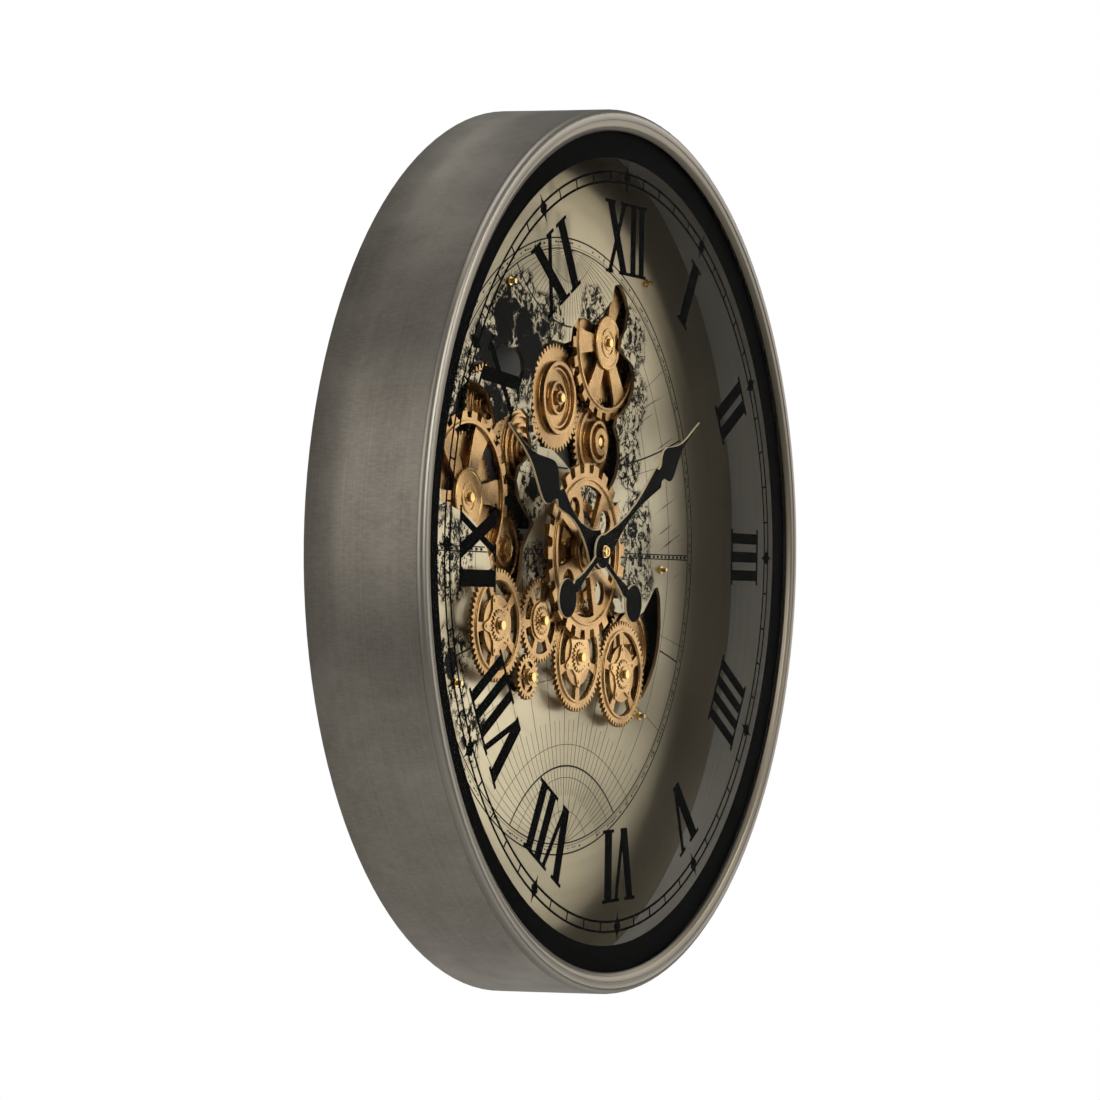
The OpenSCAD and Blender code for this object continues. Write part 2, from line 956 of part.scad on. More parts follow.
module battery_cells() {
  color([0.25, 0.42, 0.3]) place()
    for (i = [0:1])
      translate([79, 54.8, -156.4 + i * 16.4])
        rotate([0, 90, 0]) {
          cylinder(r = cell_radius, h = cell_length - 2);
          translate([0, 0, cell_length - 2])
            cylinder(r = 2.7, h = 1.6);
        }
}

module switch_slider() {
  color([0.7, 0.15, 0.12]) place()
    translate([96.3, 60.1, -133.9])
      cube([6, 1.7, 2.2]);
}

// ---- front gears ----

module center_wheel() {
  color(bronze) place()
    at(center_c, 2) {
      slab(22, 3)
        difference() {
          coarse2d(coarse_teeth, coarse_radius, coarse_radius - 5.2, 0, 0.52);
          circle(9);
          for (i = [0:3]) {
            sector(15, 37.5, i * 90 + 59, i * 90 + 103);
            rotate(i * 90 + 34)
              translate([29, 0])
                circle(6.9);
          }
        }
      slab(21, 1)
        ring(42, 40.4);
    }
}

module center_hub() {
  color(gold) place() {
    slab(19.6, 13.4)
      ring(8.8, sleeve_outer + running_fit);
    slab(20.8, 1.2)
      ring(13, 8.8);
  }
}

module center_fine_wheel() {
  color(bronze) place()
    at(center_c, center_p)
      slab(front_y, front_t)
        difference() {
          gear2d(front_module, center_teeth, 0);
          circle(9.1);
          for (i = [0:3])
            sector(14, 24, i * 90 + 10, i * 90 + 80);
        }
}

module south_wheel() {
  color(bronze) place()
    front_wheel(south_c, south_teeth, south_p, south_arm);
}

module south_spider() {
  color(gold) place()
    spider(south_c, south_arm, front_y + front_t + 4);
}

module east_wheel() {
  color(bronze) place()
    front_wheel(east_c, east_teeth, east_p, east_arm);
}

module east_spider() {
  color(gold) place()
    spider(east_c, east_arm, rear_y);
}

module east_rear_wheel() {
  color(bronze) place()
    at(east_c)
      slab(rear_y, rear_t)
        difference() {
          gear2d(rear_module, east_rear_teeth, 0);
          circle(bore);
        }
}

module west_wheel() {
  color(bronze) place()
    front_wheel(west_c, west_teeth, west_p, west_arm);
}

module west_spider() {
  color(gold) place()
    spider(west_c, west_arm, front_y + front_t + 4);
}

module inner_wheel() {
  color(bronze) place()
    at(inner_c, inner_p)
      slab(front_y, front_t)
        difference() {
          gear2d(front_module, inner_teeth, 0);
          circle(5.8);
          for (i = [0:5])
            sector(12.2, 18.6, i * 60 + 8, i * 60 + 52);
        }
}

module inner_hub() {
  color(gold) place()
    at(inner_c) {
      slab(lobe_y, front_y - lobe_y)
        ring(10.4, bore);
      slab(pinion_y, lobe_y - pinion_y)
        difference() {
          gear2d(0.8, 18, 0);
          circle(bore);
        }
      slab(front_hub_y, pinion_y - front_hub_y)
        ring(4.6, bore);
      slab(front_y, rear_y - front_y)
        ring(5.6, bore);
    }
}

module inner_rear_wheel() {
  color(bronze) place()
    at(inner_c)
      slab(rear_y, rear_t)
        difference() {
          gear2d(rear_module, inner_rear_teeth, 0);
          circle(bore);
        }
}

module small_wheel() {
  color(gold) place()
    at(small_c, small_p) {
      slab(front_y, front_t)
        difference() {
          gear2d(front_module, small_teeth, 0);
          circle(bore);
          for (i = [0:4])
            sector(6, 8.6, i * 72 + 10, i * 72 + 62);
        }
      slab(front_hub_y, front_y - front_hub_y)
        ring(4.6, bore);
      slab(front_y + front_t, 4)
        ring(4.2, bore);
    }
}

// ---- rear gears ----

module disc_wheel() {
  color(bronze) place()
    ringed(disc_c, disc_teeth, disc_p, [[18.5, 16.5, 1], [10, 8, 1.6]], rear_hub_y);
}

module left_fine_wheel() {
  color(bronze) place()
    at(left_c, left_p)
      slab(rear_y, rear_t)
        difference() {
          gear2d(rear_module, left_teeth, 0);
          circle(bore);
        }
}

module left_rim() {
  color(bronze) place()
    spoked_rim(left_c, 7, 47, 40, 6);
}

module left_dome() {
  color(gold) place()
    dome(left_c, 0, rear_y);
}

module shaded_wheel() {
  color(bronze) place()
    ringed(shaded_c, shaded_teeth, shaded_p, [[17, 15, 1.2], [9.5, 7.5, 2]], rear_hub_y);
}

module ringed_wheel() {
  color(bronze) place()
    ringed(ringed_c, ringed_teeth, ringed_p, [[20, 18, 1.6], [14.5, 12.5, 2.4], [9, 7, 3]], rear_hub_y);
}

module fine_wheel() {
  color(bronze) place()
    ringed(fine_c, fine_teeth, fine_p, [[21, 18.6, 3], [17.4, 16, 1.6], [9.8, 8.2, 2.4]], rear_hub_y);
}

module domed_wheel() {
  color(bronze) place()
    ringed(domed_c, domed_teeth, domed_p, [[20, 17.4, 1.1], [12.4, 10.4, 4.2], [8, 4.2, 5.6]], rear_hub_y);
}

module upper_fine_wheel() {
  color(bronze) place()
    at(upper_c, upper_p)
      slab(rear_y, rear_t)
        difference() {
          gear2d(rear_module, upper_teeth, 0);
          circle(bore);
        }
}

module upper_rim() {
  color(bronze) place()
    spoked_rim(upper_c, 3, 45.5, 38, 6);
}

module upper_dome() {
  color(gold) place()
    dome(upper_c, 0, rear_y);
}

module right_wheel() {
  color(bronze) place()
    at(right_c, right_p) {
      slab(rear_y, rear_t)
        difference() {
          gear2d(rear_module, right_teeth, 0);
          circle(bore);
        }
      slab(rear_y - 1.5, 1.5)
        ring(24, 21.5);
      slab(rear_hub_y, rear_y - rear_hub_y)
        ring(4.2, bore);
    }
}

// ---- draw ----

case_shell();
bezel_ring();
glass_pane();
dial_print();
inner_liner();
dial_plate();
base_plate();
plate_pillars();
case_screws();
plate_standoffs();
plate_screws();
gear_posts();
post_caps();
center_sleeve();
sleeve_collar();
movement_bracket();
bracket_screws();
movement_housing();
movement_bushing();
bushing_nut();
movement_cell();
setting_knob();
hour_pipe();
hour_hand();
minute_arbor();
minute_hand();
hand_nut();
motor_housing();
motor_pinion();
battery_holder();
battery_cells();
switch_slider();
hanger_plate();
hanger_screws();
center_wheel();
center_hub();
center_fine_wheel();
south_wheel();
south_spider();
inner_wheel();
inner_hub();
inner_rear_wheel();
west_wheel();
west_spider();
small_wheel();
east_wheel();
east_spider();
east_rear_wheel();
right_wheel();
disc_wheel();
left_fine_wheel();
left_rim();
left_dome();
shaded_wheel();
ringed_wheel();
fine_wheel();
domed_wheel();
upper_fine_wheel();
upper_rim();
upper_dome();
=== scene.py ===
import json
import math

import bpy
from mathutils import Matrix, Vector
from mathutils.bvhtree import BVHTree


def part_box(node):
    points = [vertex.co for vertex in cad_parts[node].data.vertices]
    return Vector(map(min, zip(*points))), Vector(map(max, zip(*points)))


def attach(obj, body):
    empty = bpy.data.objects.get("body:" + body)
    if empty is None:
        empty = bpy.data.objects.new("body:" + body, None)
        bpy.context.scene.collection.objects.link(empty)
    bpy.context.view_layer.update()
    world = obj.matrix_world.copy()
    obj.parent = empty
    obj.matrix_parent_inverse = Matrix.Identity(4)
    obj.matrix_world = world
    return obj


MM = 0.001
BLACK = (0.0, 0.0, 0.0)
WHITE = (1.0, 1.0, 1.0)

# ---- camera: looks at the clock from its left, almost level ----
YAW = math.radians(63.787)      # turn of the view away from square-on
PITCH = math.radians(0.8525)    # looking slightly up
ROLL = math.radians(0.7835)
LENS = 112.21                   # focal length in mm, on a sensor of SENSOR mm
SENSOR = 36.0
AIM_RIGHT = 40.87 * MM
AIM_UP = -1.02 * MM
DISTANCE = 1934.2 * MM

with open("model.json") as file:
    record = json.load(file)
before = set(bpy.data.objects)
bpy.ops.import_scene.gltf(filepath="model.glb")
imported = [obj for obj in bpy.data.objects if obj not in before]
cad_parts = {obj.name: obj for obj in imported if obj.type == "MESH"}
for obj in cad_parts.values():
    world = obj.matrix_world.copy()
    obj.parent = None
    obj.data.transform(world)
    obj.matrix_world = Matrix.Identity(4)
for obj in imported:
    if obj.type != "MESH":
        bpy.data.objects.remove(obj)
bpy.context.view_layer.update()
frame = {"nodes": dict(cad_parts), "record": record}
nodes = frame["nodes"]

PRINT_GAP = 0.05 * MM           # from the rear of the glass to the print
case_lo, case_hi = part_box("case_shell")
AXIS_Z = 0.5 * (case_lo.z + case_hi.z)
GLASS_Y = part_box("dial_print")[0].y - PRINT_GAP
PLATE_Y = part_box("dial_plate")[0].y


def pt(x, y, z):
    """A point given in millimetres from the case axis, y counted from the rear of the glass."""
    return Vector((x * MM, GLASS_Y + y * MM, AXIS_Z + z * MM))


def add_object(name, data):
    o = bpy.data.objects.new(name, data)
    bpy.context.scene.collection.objects.link(o)
    return o


def make_camera():
    level = math.cos(PITCH)
    fwd = Vector((math.sin(YAW) * level, math.cos(YAW) * level, math.sin(PITCH)))
    right = Vector((math.cos(YAW), -math.sin(YAW), 0.0))
    up = right.cross(fwd)
    side = math.cos(ROLL) * right + math.sin(ROLL) * up
    head = -math.sin(ROLL) * right + math.cos(ROLL) * up
    spot = pt(0, 0, 0) - (AIM_RIGHT * side + AIM_UP * head + DISTANCE * fwd)
    cam = add_object("camera", bpy.data.cameras.new("camera"))
    turn = Matrix((side, head, -fwd)).transposed()
    cam.matrix_world = Matrix.Translation(spot) @ turn.to_4x4()
    cam.data.lens = LENS
    cam.data.sensor_width = SENSOR
    cam.data.clip_start = 0.01
    cam.data.clip_end = 50.0
    bpy.context.scene.camera = cam


make_camera()


# ---- node helpers ----

class Mat:
    """A small builder for one procedural material."""

    def __init__(self, name):
        self.m = bpy.data.materials.new(name)
        self.m.use_nodes = True
        self.t = self.m.node_tree
        self.b = self.t.nodes["Principled BSDF"]
        self.out = self.t.nodes["Material Output"]
        self.co = self.node("ShaderNodeTexCoord").outputs["Object"]

    def node(self, kind, **props):
        n = self.t.nodes.new(kind)
        for k, v in props.items():
            setattr(n, k, v)
        return n

    def put(self, socket, value):
        if isinstance(value, bpy.types.NodeSocket):
            self.t.links.new(value, socket)
        else:
            socket.default_value = value

    def math(self, op, a, b=None, c=None, clamp=False):
        n = self.node("ShaderNodeMath", operation=op, use_clamp=clamp)
        for s, v in zip(n.inputs, (a, b, c)):
            if v is not None:
                self.put(s, v)
        return n.outputs[0]

    def times(self, a, b, clamp=False):
        return self.math("MULTIPLY", a, b, clamp=clamp)

    def vec(self, op, a, b):
        n = self.node("ShaderNodeVectorMath", operation=op)
        self.put(n.inputs[0], a)
        if b is not None:
            self.put(n.inputs[1], b)
        gives_number = op in ("LENGTH", "DISTANCE", "DOT_PRODUCT")
        return n.outputs["Value" if gives_number else "Vector"]

    def xyz(self, v):
        n = self.node("ShaderNodeSeparateXYZ")
        self.put(n.inputs[0], v)
        return n.outputs

    def join(self, x, y, z):
        n = self.node("ShaderNodeCombineXYZ")
        for s, v in zip(n.inputs, (x, y, z)):
            self.put(s, v)
        return n.outputs[0]

    def noise(self, at, scale, detail=3.0, rough=0.55, distort=0.0):
        n = self.node("ShaderNodeTexNoise")
        self.put(n.inputs["Vector"], at)
        self.put(n.inputs["Scale"], scale)
        self.put(n.inputs["Detail"], detail)
        self.put(n.inputs["Roughness"], rough)
        self.put(n.inputs["Distortion"], distort)
        return n.outputs["Fac"]

    def ramp(self, fac, stops):
        n = self.node("ShaderNodeValToRGB")
        e = n.color_ramp.elements
        while len(e) > len(stops):
            e.remove(e[-1])
        while len(e) < len(stops):
            e.new(1.0)
        for k, (p, c) in zip(e, stops):
            k.position = p
            k.color = (*c, 1.0)
        self.put(n.inputs[0], fac)
        return n.outputs[0]

    def fade(self, fac, start, end, top=1.0):
        """Black up to start, then rising to the grey called top at end."""
        return self.ramp(fac, [(start, BLACK), (end, (top, top, top))])

    def band(self, fac, start, full, last, end):
        """White from full to last, and black before start and after end."""
        return self.ramp(fac, [(start, BLACK), (full, WHITE), (last, WHITE), (end, BLACK)])

    def mix(self, fac, a, b):
        n = self.node("ShaderNodeMix", data_type="RGBA")
        self.put(n.inputs[0], fac)
        self.put(n.inputs[6], a if isinstance(a, bpy.types.NodeSocket) else (*a, 1.0))
        self.put(n.inputs[7], b if isinstance(b, bpy.types.NodeSocket) else (*b, 1.0))
        return n.outputs[2]

    def bump(self, height, strength, distance):
        n = self.node("ShaderNodeBump")
        self.put(n.inputs["Strength"], strength)
        self.put(n.inputs["Distance"], distance)
        self.put(n.inputs["Height"], height)
        self.put(self.b.inputs["Normal"], n.outputs[0])

    def rough(self, fac, lo, hi):
        self.put(self.b.inputs["Roughness"], self.math("MULTIPLY_ADD", fac, hi - lo, lo))

    def color(self, c):
        self.put(self.b.inputs["Base Color"], c)

    def metal(self, v=1.0):
        self.b.inputs["Metallic"].default_value = v

    def facing(self):
        """1 on faces square to the case axis, 0 on faces along it."""
        normal = self.node("ShaderNodeNewGeometry").outputs["Normal"]
        return self.math("ABSOLUTE", self.xyz(normal)[1])

    def from_axis(self):
        """The point measured from the case axis, its radius, and its direction."""
        v = self.vec("SUBTRACT", self.co, (0.0, 0.0, AXIS_Z))
        x, y, z = self.xyz(v)
        flat = self.join(x, 0.0, z)
        return v, self.vec("LENGTH", flat, None), self.vec("NORMALIZE", flat, None)

    def turned(self, r, d, fine, around):
        """Coordinates for marks that run round the case axis."""
        return self.join(
            self.times(r, fine),
            self.vec("DOT_PRODUCT", d, (around, 0.0, 0.0)),
            self.vec("DOT_PRODUCT", d, (0.0, 0.0, around)),
        )


# ---- case, bezel, liner, glass and print ----

def case_metal():
    m = Mat("case_pewter")
    v = m.from_axis()[0]
    streak = m.noise(m.vec("MULTIPLY", v, (5.0, 2600.0, 5.0)), 1.0, 2.0, 0.5)
    weave = m.noise(m.vec("MULTIPLY", v, (900.0, 240.0, 900.0)), 1.0, 2.0)
    cloud = m.noise(v, 6.0, 4.0, 0.6, 0.4)
    blotch = m.noise(v, 19.0, 6.0, 0.66, 0.6)
    grime = m.noise(v, 52.0, 6.0, 0.7, 0.4)
    tone = m.ramp(cloud, [
        (0.32, (0.140, 0.125, 0.102)),
        (0.5, (0.235, 0.214, 0.180)),
        (0.68, (0.375, 0.344, 0.294)),
    ])
    tone = m.mix(m.times(m.fade(blotch, 0.42, 0.72), 0.45), tone, (0.150, 0.136, 0.114))
    tone = m.mix(m.fade(grime, 0.45, 0.75, 0.4), tone, (0.115, 0.103, 0.085))
    tone = m.mix(m.fade(streak, 0.42, 0.66, 0.2), tone, (0.36, 0.332, 0.285))
    tone = m.mix(m.fade(weave, 0.4, 0.7, 0.16), tone, (0.40, 0.372, 0.325))
    m.color(tone)
    m.metal(0.94)
    m.rough(m.math("ADD", m.times(grime, 0.5), m.times(cloud, 0.5)), 0.32, 0.54)
    m.bump(m.math("ADD", streak, m.times(weave, 0.5)), 0.045, 0.0001)
    m.b.inputs["Anisotropic"].default_value = 0.3
    return m.m


# Radii of the bezel's features, in metres from the case axis.
LIP_STEP = (0.2370, 0.2377)
# a lighter ring on the inner slope of the lip
LIGHT_LIP_SLOPE = (0.2376, 0.2386, 0.2404, 0.2412)
# painted shade: a dark ring in the groove
GROOVE = (0.2411, 0.2414, 0.2419, 0.2423)
# painted highlight: a bright ring on the rounded corner
CORNER_HIGHLIGHT = (0.2456, 0.2464, 0.2471, 0.2475)
OUTER_WALL = (0.2472, 0.2476)


def bezel_metal():
    """The outer wall carries on the case's tone; the front is lighter on its inner slope, dark in
    the groove as painted shade, and bright on the corner as a painted highlight.
    """
    m = Mat("bezel_satin")
    v, r, d = m.from_axis()
    y = m.xyz(v)[1]
    around = m.vec("DOT_PRODUCT", d, (2.0, 0.0, 3.0))
    turned = m.noise(m.join(m.times(r, 1600.0), m.times(y, 1600.0), around), 1.0, 3.0, 0.6)
    cloud = m.noise(v, 9.0, 4.0)
    tone = m.ramp(cloud, [(0.3, (0.078, 0.068, 0.052)), (0.7, (0.128, 0.113, 0.088))])
    for where, share, paint in (
        (m.band(r, *LIGHT_LIP_SLOPE), 0.6, (0.33, 0.285, 0.21)),
        # painted shade in the groove
        (m.band(r, *GROOVE), 0.8, (0.035, 0.032, 0.027)),
        # painted highlight on the corner
        (m.band(r, *CORNER_HIGHLIGHT), 0.6, (0.60, 0.57, 0.50)),
        (m.ramp(r, list(zip(LIP_STEP, (WHITE, BLACK)))), 0.8, (0.05, 0.046, 0.038)),
        (turned, 0.10, (0.28, 0.248, 0.196)),
    ):
        tone = m.mix(m.times(where, share), tone, paint)
    wall = m.fade(r, *OUTER_WALL)
    wall_tone = m.ramp(cloud, [(0.32, (0.120, 0.108, 0.090)), (0.68, (0.215, 0.196, 0.167))])
    m.color(m.mix(wall, tone, wall_tone))
    m.metal(0.96)
    satin = m.math("MULTIPLY_ADD", turned, 0.12, 0.28)
    m.put(m.b.inputs["Roughness"], m.math("MULTIPLY_ADD", wall, 0.14, satin))
    m.bump(turned, 0.07, 0.0002)
    return m.m


def liner_metal():
    m = Mat("liner_grey")
    v = m.from_axis()[0]
    lines = m.noise(m.vec("MULTIPLY", v, (6.0, 700.0, 6.0)), 1.0, 3.0)
    cloud = m.noise(v, 11.0, 3.0)
    tone = m.ramp(cloud, [(0.3, (0.27, 0.265, 0.262)), (0.7, (0.37, 0.363, 0.358))])
    tone = m.mix(lines, tone, (0.44, 0.432, 0.425))
    # painted shade: the liner darkens towards the top
    liner_painted_shade = m.math("MULTIPLY_ADD", m.xyz(v)[2], 4.0, -0.2, clamp=True)
    m.color(m.mix(liner_painted_shade, tone, (0.125, 0.115, 0.104)))
    m.metal(0.55)
    m.rough(lines, 0.38, 0.55)
    m.bump(lines, 0.08, 0.0002)
    return m.m


GLASS_GLOSS = 0.015             # how much of the Fresnel reflection shows


def glass_clear():
    """Clear glass: see-through, with a weak reflection from its outer faces only."""
    m = Mat("glass_clear")
    clear = m.node("ShaderNodeBsdfTransparent")
    clear.inputs[0].default_value = (0.965, 0.97, 0.965, 1.0)
    m.color((0.9, 0.92, 0.91, 1.0))
    m.metal(1.0)
    m.rough(m.noise(m.co, 14.0, 4.0, 0.6), 0.01, 0.05)
    layer = m.node("ShaderNodeFresnel")
    layer.inputs["IOR"].default_value = 1.3
    inner = m.node("ShaderNodeNewGeometry").outputs["Backfacing"]
    outer = m.math("SUBTRACT", 1.0, inner)
    mixer = m.node("ShaderNodeMixShader")
    m.put(mixer.inputs[0], m.times(m.times(layer.outputs[0], GLASS_GLOSS), outer))
    m.put(mixer.inputs[1], clear.outputs[0])
    m.put(mixer.inputs[2], m.b.outputs[0])
    m.put(m.out.inputs[0], mixer.outputs[0])
    return m.m


def ink(name="print_ink", base=0.003):
    m = Mat(name)
    grain = m.noise(m.co, 900.0, 2.0)
    cloud = m.noise(m.co, 12.0, 3.0)
    uneven = m.ramp(cloud, [(0.3, (base * 1.3,) * 3), (0.8, (base * 2.0,) * 3)])
    m.color(m.mix(grain, (base, base, base), uneven))
    m.rough(grain, 0.65, 0.85)
    m.b.inputs["IOR"].default_value = 1.04
    return m.m


# ---- dial plate, with the coasts of the map ----

# Where the engraved coasts are thick: x, z, radius in mm from the axis, and how dark.
LAND = [
    (-68, 118, 42, 1.0), (-98, 106, 30, 0.9), (-40, 122, 26, 0.9), (-60, 60, 22, 0.8),
    (-44, 34, 20, 0.7), (-128, 88, 30, 0.6), (-140, -6, 28, 0.6), (-150, 40, 26, 0.5),
    (-138, -62, 26, 0.6), (-124, -104, 24, 0.6), (-118, -112, 18, 0.5), (-112, -95, 16, 0.5),
    (-110, 60, 22, 0.6), (-84, 78, 22, 0.8), (60, 86, 20, 0.6), (-22, 130, 20, 0.5),
    (30, 138, 22, 0.4), (84, 126, 24, 0.6), (86, 92, 24, 0.55), (80, 56, 22, 0.5),
    (92, 14, 28, 0.5), (84, -18, 20, 0.5), (106, -12, 18, 0.45), (34, 30, 22, 0.5),
    (-40, -10, 20, 0.5),
]
MAP_MIDDLE = (0.0, 0.0, 0.003)  # middle of the map, in metres from the case axis
MAP_EDGE = (0.1650, 0.1685)     # radii over which the coasts fade out, in metres
PRINT_DEPTH = 0.0004            # the coasts show only this near the plate's front
SEA = (0.105, 0.0, 0.03)        # middle of the hatched sea
SEA_REACH = 0.085
HATCH_SLOPE = 0.35


def coasts(m, plane):
    """Soft patches broken up by fractal noise, darkest in the north-west."""
    field = None
    for land_x, land_z, radius, weight in LAND:
        away = m.vec("DISTANCE", plane, (land_x * MM, 0.0, land_z * MM))
        near = m.math("SUBTRACT", 1.0, m.math("DIVIDE", away, radius * MM))
        here = m.math("MULTIPLY_ADD", near, 0.9, weight - 0.5)
        here = m.times(here, m.times(near, 4.0, clamp=True))
        field = here if field is None else m.math("MAXIMUM", field, here)
    coast = m.noise(plane, 38.0, 6.0, 0.62, 0.3)
    gate = m.times(field, 8.0, clamp=True)
    dense = m.math("ADD", field, m.math("MULTIPLY_ADD", coast, 2.6, -1.3))
    zone = m.times(gate, m.math("MULTIPLY_ADD", dense, 3.5, 0.2, clamp=True))
    mass = m.math("ADD", field, m.math("MULTIPLY_ADD", coast, 1.6, -1.62))
    mass = m.times(mass, 60.0, clamp=True)
    curl = m.math("ABSOLUTE", m.math("SUBTRACT", m.noise(plane, 62.0, 7.0, 0.70, 0.5), 0.5))
    curl = m.math("MULTIPLY_ADD", curl, -300.0, 8.0, clamp=True)
    fleck = m.math("SUBTRACT", m.noise(plane, 185.0, 4.0, 0.68), 0.535)
    fleck = m.times(fleck, 120.0, clamp=True)
    isles = m.math("SUBTRACT", m.noise(plane, 26.0, 3.0), 0.52)
    isles = m.times(isles, 30.0, clamp=True)
    loose = m.times(m.math("MAXIMUM", curl, fleck), zone)
    solid = m.math("SUBTRACT", 1.0, m.times(curl, isles))
    land = m.mix(mass, loose, solid)
    sparse = m.fade(m.noise(plane, 420.0, 2.0, 0.6), 0.665, 0.68)
    dots = m.times(sparse, m.math("MULTIPLY_ADD", field, 1.5, 0.05, clamp=True))
    shore = m.times(m.math("ABSOLUTE", m.math("SUBTRACT", dense, 0.12)), 24.0)
    shore = m.times(m.math("SUBTRACT", 1.0, shore, clamp=True), gate)
    return m.math("MAXIMUM", m.math("MAXIMUM", land, dots), shore)


def hatching(m, plane, x, z):
    """Strokes that run out to sea on the right."""
    along = m.times(m.math("ADD", x, m.times(z, HATCH_SLOPE)), 16.0)
    across = m.times(m.math("SUBTRACT", z, m.times(x, HATCH_SLOPE)), 420.0)
    strokes = m.fade(m.noise(m.join(along, 0.0, across), 1.0, 2.0), 0.66, 0.70)
    away = m.math("DIVIDE", m.vec("DISTANCE", plane, SEA), SEA_REACH)
    sea = m.math("SUBTRACT", 1.0, away, clamp=True)
    return m.times(strokes, m.times(sea, 2.0, clamp=True))


def dial_metal():
    """Circular-brushed champagne metal, printed inside the ring of the map."""
    m = Mat("dial_champagne")
    v, r, d = m.from_axis()
    x, y, z = m.xyz(v)
    brush = m.noise(m.turned(r, d, 1500.0, 1.6), 1.0, 4.0, 0.65)
    broad = m.noise(m.turned(r, d, 120.0, 2.0), 1.0, 3.0)
    cloud = m.noise(v, 5.0, 3.0)
    tone = m.ramp(cloud, [(0.3, (0.43, 0.365, 0.245)), (0.7, (0.52, 0.45, 0.315))])
    tone = m.mix(m.times(brush, 0.45), tone, (0.60, 0.53, 0.385))
    tone = m.mix(m.fade(broad, 0.45, 0.8, 0.35), tone, (0.33, 0.28, 0.19))
    plane = m.join(x, 0.0, z)
    inked = m.math("MAXIMUM", coasts(m, plane), hatching(m, plane, x, z))
    from_middle = m.vec("DISTANCE", plane, MAP_MIDDLE)
    inside = m.ramp(from_middle, list(zip(MAP_EDGE, (WHITE, BLACK))))
    front = m.math("LESS_THAN", m.xyz(m.co)[1], PLATE_Y + PRINT_DEPTH)
    inked = m.times(m.times(inked, inside), front, clamp=True)
    # painted shade: the plate is darker to the right and to the top
    painted_shade_right = m.times(m.math("MULTIPLY_ADD", x, 7.5, -0.12, clamp=True), 0.55)
    painted_shade_top = m.times(m.math("MULTIPLY_ADD", z, 8.0, -0.72, clamp=True), 0.6)
    tone = m.mix(painted_shade_right, tone, (0.21, 0.181, 0.130))
    tone = m.mix(painted_shade_top, tone, (0.19, 0.158, 0.105))
    m.color(m.mix(inked, tone, (0.010, 0.0095, 0.009)))
    m.put(m.b.inputs["Metallic"], m.math("MULTIPLY_ADD", inked, -0.95, 0.95))
    m.b.inputs["IOR"].default_value = 1.08
    satin = m.math("MULTIPLY_ADD", brush, 0.16, 0.30)
    m.put(m.b.inputs["Roughness"], m.math("ADD", satin, m.times(inked, 0.2)))
    m.bump(brush, 0.22, 0.00018)
    m.b.inputs["Anisotropic"].default_value = 0.8
    tan = m.node("ShaderNodeTangent", direction_type="RADIAL", axis="Y")
    m.put(m.b.inputs["Tangent"], tan.outputs[0])
    return m.m


# ---- gears, hands and the works ----

def gear_metal(name, dark, mid, bright, rough):
    """Tumbled bronze: darker in patches, scratched, and with a painted highlight on sloping edges.
    """
    m = Mat(name)
    cloud = m.noise(m.co, 34.0, 4.0, 0.6)
    patina = m.noise(m.co, 110.0, 4.0, 0.65, 0.6)
    scratch = m.noise(m.vec("MULTIPLY", m.co, (1900.0, 200.0, 260.0)), 1.0, 3.0, 0.6)
    tone = m.ramp(cloud, [(0.32, dark), (0.5, mid), (0.7, bright)])
    tone = m.mix(m.fade(patina, 0.5, 0.72, 0.35), tone, tuple(c * 0.55 for c in dark))
    tone = m.mix(m.times(scratch, 0.25), tone, bright)
    # painted highlight: brighter colour on the sloping edges
    edge_highlight = m.band(m.facing(), 0.15, 0.45, 0.85, 0.97)
    m.color(m.mix(edge_highlight, tone, tuple(min(1.0, c * 1.5) for c in bright)))
    m.metal(1.0)
    m.rough(m.math("ADD", m.times(patina, 0.5), m.times(scratch, 0.5)), *rough)
    m.bump(m.math("ADD", scratch, m.times(patina, 0.5)), 0.07, 0.0001)
    return m.m


def plain_metal(name, a, b, lo, hi):
    m = Mat(name)
    cloud = m.noise(m.co, 60.0, 3.0)
    fine = m.noise(m.co, 300.0, 3.0, 0.6)
    tone = m.ramp(cloud, [(0.3, a), (0.7, b)])
    m.color(m.mix(fine, tone, tuple(min(1.0, c * 1.12) for c in b)))
    m.metal(1.0)
    m.rough(fine, lo, hi)
    m.bump(fine, 0.08, 0.0001)
    return m.m


def moulded(name, a, b, lo=0.35, hi=0.55):
    m = Mat(name)
    grain = m.noise(m.co, 1500.0, 2.0)
    cloud = m.noise(m.co, 40.0, 3.0)
    m.color(m.mix(grain, m.ramp(cloud, [(0.3, a), (0.7, b)]), b))
    m.rough(grain, lo, hi)
    m.bump(grain, 0.15, 0.0001)
    return m.m


def board():
    m = Mat("base_board_black")
    fibre = m.noise(m.vec("MULTIPLY", m.co, (1.0, 1.0, 3.0)), 260.0, 5.0, 0.7)
    cloud = m.noise(m.co, 9.0, 4.0)
    tone = m.ramp(cloud, [(0.3, (0.022, 0.021, 0.020)), (0.7, (0.036, 0.034, 0.032))])
    m.color(m.mix(m.times(fibre, 0.5), tone, (0.07, 0.064, 0.058)))
    m.rough(fibre, 0.55, 0.8)
    m.bump(fibre, 0.3, 0.0002)
    return m.m


